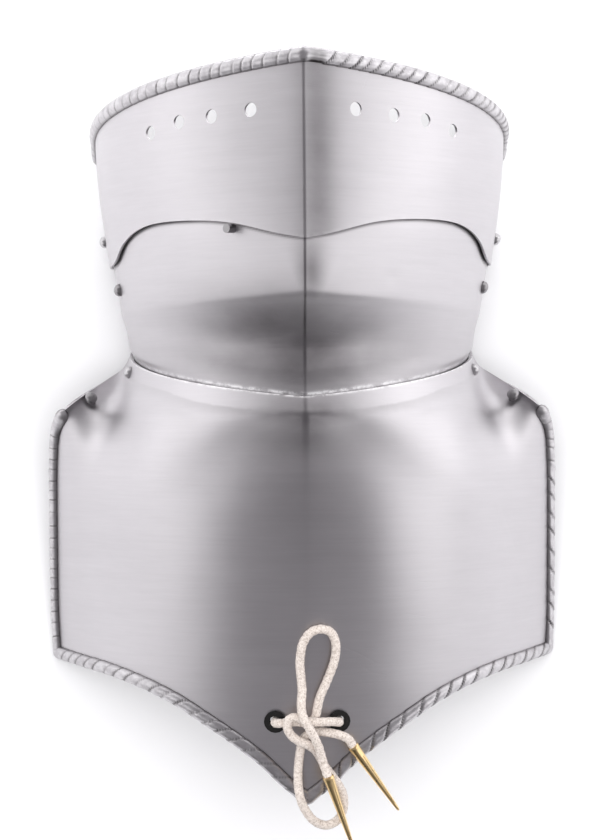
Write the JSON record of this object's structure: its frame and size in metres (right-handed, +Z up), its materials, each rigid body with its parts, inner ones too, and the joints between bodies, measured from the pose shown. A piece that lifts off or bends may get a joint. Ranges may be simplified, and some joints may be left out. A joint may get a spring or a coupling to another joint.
{
  "type": "steel bevor",
  "caption": "Steel chin and throat guard in late Gothic style: a falling upper plate, a chin plate and a bib with a roped edge, laced at the point",
  "frame": {"origin": "on the surface under the middle of the bevor's box without its lace, the bevor lying on its open back", "axes": "X runs across to the picture's right, Y from the bib's point up to the roped rim, Z up through the front"},
  "size_m": [0.2684, 0.3944, 0.1622],
  "materials": {
    "satin_steel": "satin, brushed across, lightly scratched",
    "rivet_steel": "darker worn steel",
    "black_enamel": "black enamel",
    "white_cotton": "braided off-white cotton cord",
    "brass": "rolled brass tag"
  },
  "bodies": {
    "chin": {"chin_plate": "satin_steel", "pivot_rivet_left": "rivet_steel", "pivot_rivet_right": "rivet_steel", "stop_rivet_left": "rivet_steel", "stop_rivet_right": "rivet_steel", "neck_rivet_left": "rivet_steel", "neck_rivet_right": "rivet_steel", "catch": "rivet_steel"},
    "upper": {"upper_plate": "satin_steel"},
    "bib": {"bib_plate": "satin_steel", "shoulder_rivet_left": "rivet_steel", "shoulder_rivet_right": "rivet_steel", "eyelet_left": "black_enamel", "eyelet_right": "black_enamel", "lace": "white_cotton", "aglet_left": "brass", "aglet_right": "brass"}
  },
  "joints": [
    {"name": "upper_plate_fall", "type": "hinge", "parent": "chin", "child": "upper", "pos_m": [0, 0.10135, 0.02], "axis": [1, 0, 0], "range_deg": [0, 18], "deforming": ["catch"]},
    {"name": "bib_tilt", "type": "hinge", "parent": "chin", "child": "bib", "pos_m": [0, 0.03235, 0.035], "axis": [1, 0, 0], "range_deg": [-4, 3]}
  ]
}
